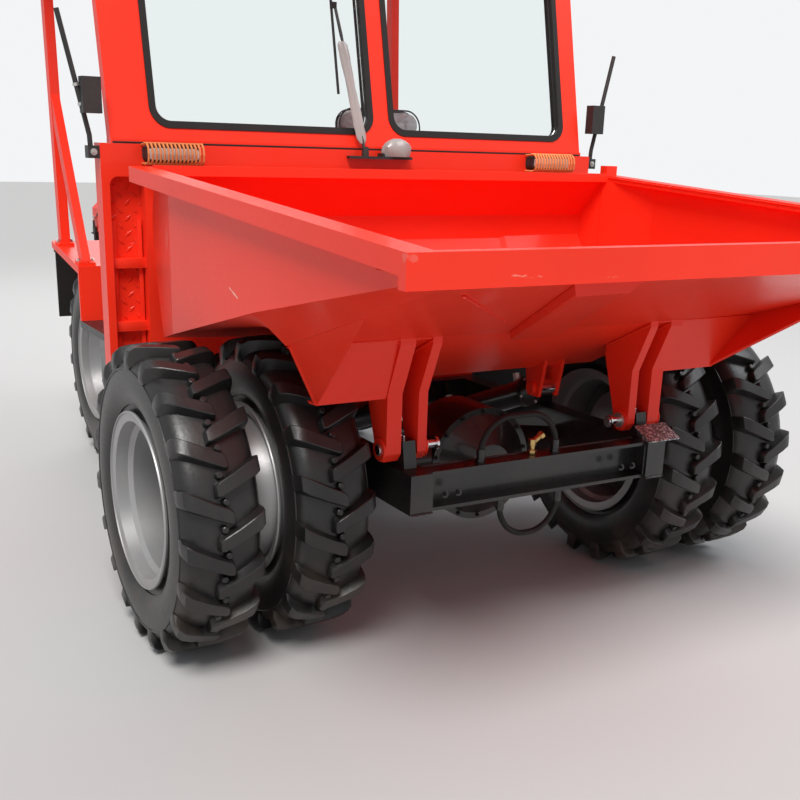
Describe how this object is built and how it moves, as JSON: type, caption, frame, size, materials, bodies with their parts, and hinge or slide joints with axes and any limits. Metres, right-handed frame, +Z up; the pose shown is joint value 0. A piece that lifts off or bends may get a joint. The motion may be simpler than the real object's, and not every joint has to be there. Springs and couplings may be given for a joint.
{
  "type": "site dumper",
  "caption": "Site dumper with a red front tipping skip, twin front wheels, steered rear wheels and a canopy behind a glazed screen.",
  "frame": {"origin": "on the ground, at the middle of the machine's length and width", "axes": "+Z up, -Y toward the skip (the front), +X toward the machine's left side"},
  "size_m": [1.98, 3.602, 2.0749],
  "materials": {
    "red_paint": "glossy orange-red enamel",
    "black_paint": "satin black enamel",
    "silver_paint": "silver-grey wheel paint",
    "bare_steel": "zinc-plated steel",
    "chrome_rod": "hard chrome",
    "engine_iron": "painted cast iron",
    "tyre_black": "moulded bar-tread rubber",
    "seal_rubber": "dull dark rubber",
    "clear_glass": "clear safety glass",
    "black_plastic": "grained black plastic",
    "grey_vinyl": "light grey vinyl",
    "amber_plastic": "amber ribbed plastic",
    "lamp_lens": "clear lens over a reflector",
    "red_lens": "red lens"
  },
  "bodies": {
    "chassis": {"front_wall": "red_paint", "windscreen_frame": "red_paint", "roof_and_posts": "red_paint", "rear_mudguards": "red_paint", "engine_housing": "red_paint", "chassis_frame": "black_paint", "front_axle": "black_paint", "rear_axle": "black_paint", "drive_train": "black_paint", "platform_floor": "black_paint", "fuel_tank": "black_paint", "exhaust_pipe": "black_paint", "hinge_pins": "bare_steel", "blank_plate": "bare_steel", "engine_block": "engine_iron", "window_seals": "seal_rubber", "mud_flaps": "seal_rubber", "hoses": "seal_rubber", "window_panes": "clear_glass", "mirrors": "black_plastic", "wiper_base": "black_plastic", "levers_and_pedals": "black_plastic", "dash_console": "black_plastic", "seat": "grey_vinyl", "lamp_guards": "amber_plastic", "headlamps": "lamp_lens", "rear_lamps": "red_lens"},
    "skip": {"skip_shell": "red_paint", "skip_rim": "red_paint", "skip_lugs": "red_paint"},
    "engine_lid": {"engine_hood": "red_paint"},
    "tip_barrels": {"tip_cylinder_barrels": "black_paint"},
    "tip_rods": {"tip_cylinder_rods": "chrome_rod"},
    "front_wheels_left": {"front_tyres_left": "tyre_black", "front_rims_left": "silver_paint"},
    "front_wheels_right": {"front_tyres_right": "tyre_black", "front_rims_right": "silver_paint"},
    "steer_knuckle_left": {"knuckle_left": "black_paint"},
    "steer_knuckle_right": {"knuckle_right": "black_paint"},
    "rear_wheel_left": {"rear_tyre_left": "tyre_black", "rear_rim_left": "silver_paint"},
    "rear_wheel_right": {"rear_tyre_right": "tyre_black", "rear_rim_right": "silver_paint"},
    "track_rod": {"tie_rod": "black_paint"},
    "hand_wheel": {"steering_wheel": "black_plastic"}
  },
  "joints": [
    {"name": "skip_tilt", "type": "hinge", "parent": "chassis", "child": "skip", "pos_m": [0, -1.029, 0.555], "axis": [1, 0, 0], "range_deg": [0, 60]},
    {"name": "ram_swing", "type": "hinge", "parent": "chassis", "child": "tip_barrels", "pos_m": [0, -0.209, 0.385], "axis": [1, 0, 0], "range_deg": [-10.4, 0]},
    {"name": "ram_slide", "type": "slide", "parent": "tip_barrels", "child": "tip_rods", "axis": [0, -0.9308, 0.3657], "range_m": [0, 0.2295]},
    {"name": "hood_lift", "type": "hinge", "parent": "chassis", "child": "engine_lid", "pos_m": [0, 0.766, 0.94], "axis": [1, 0, 0], "range_deg": [0, 60]},
    {"name": "front_wheels_left_spin", "type": "hinge", "parent": "chassis", "child": "front_wheels_left", "pos_m": [0.7375, -0.709, 0.398], "axis": [1, 0, 0], "continuous": true},
    {"name": "front_wheels_right_spin", "type": "hinge", "parent": "chassis", "child": "front_wheels_right", "pos_m": [-0.7375, -0.709, 0.398], "axis": [1, 0, 0], "continuous": true},
    {"name": "steer_left", "type": "hinge", "parent": "chassis", "child": "steer_knuckle_left", "pos_m": [0.385, 1.091, 0.398], "axis": [0, 0, 1], "range_deg": [-25, 25]},
    {"name": "steer_right", "type": "hinge", "parent": "chassis", "child": "steer_knuckle_right", "pos_m": [-0.385, 1.091, 0.398], "axis": [0, 0, 1], "range_deg": [-25, 25]},
    {"name": "track_rod_slide", "type": "slide", "parent": "chassis", "child": "track_rod", "axis": [1, 0, 0], "range_m": [-0.072, 0.072]},
    {"name": "hand_wheel_turn", "type": "hinge", "parent": "chassis", "child": "hand_wheel", "pos_m": [0.495, 0.071, 1.1575], "axis": [0, 0.6306, 0.7761], "range_deg": [-500, 500]},
    {"name": "rear_wheel_left_spin", "type": "hinge", "parent": "steer_knuckle_left", "child": "rear_wheel_left", "pos_m": [0.52, 1.091, 0.398], "axis": [1, 0, 0], "continuous": true},
    {"name": "rear_wheel_right_spin", "type": "hinge", "parent": "steer_knuckle_right", "child": "rear_wheel_right", "pos_m": [-0.52, 1.091, 0.398], "axis": [1, 0, 0], "continuous": true}
  ],
  "couplings": [
    {"joint": "ram_swing", "follows": "skip_tilt", "ratio": -0.17146},
    {"joint": "ram_slide", "follows": "skip_tilt", "m_per_rad": 0.21856},
    {"joint": "steer_right", "follows": "steer_left", "ratio": 1},
    {"joint": "track_rod_slide", "follows": "steer_left", "m_per_rad": -0.1647},
    {"joint": "hand_wheel_turn", "follows": "steer_left", "ratio": 20}
  ]
}
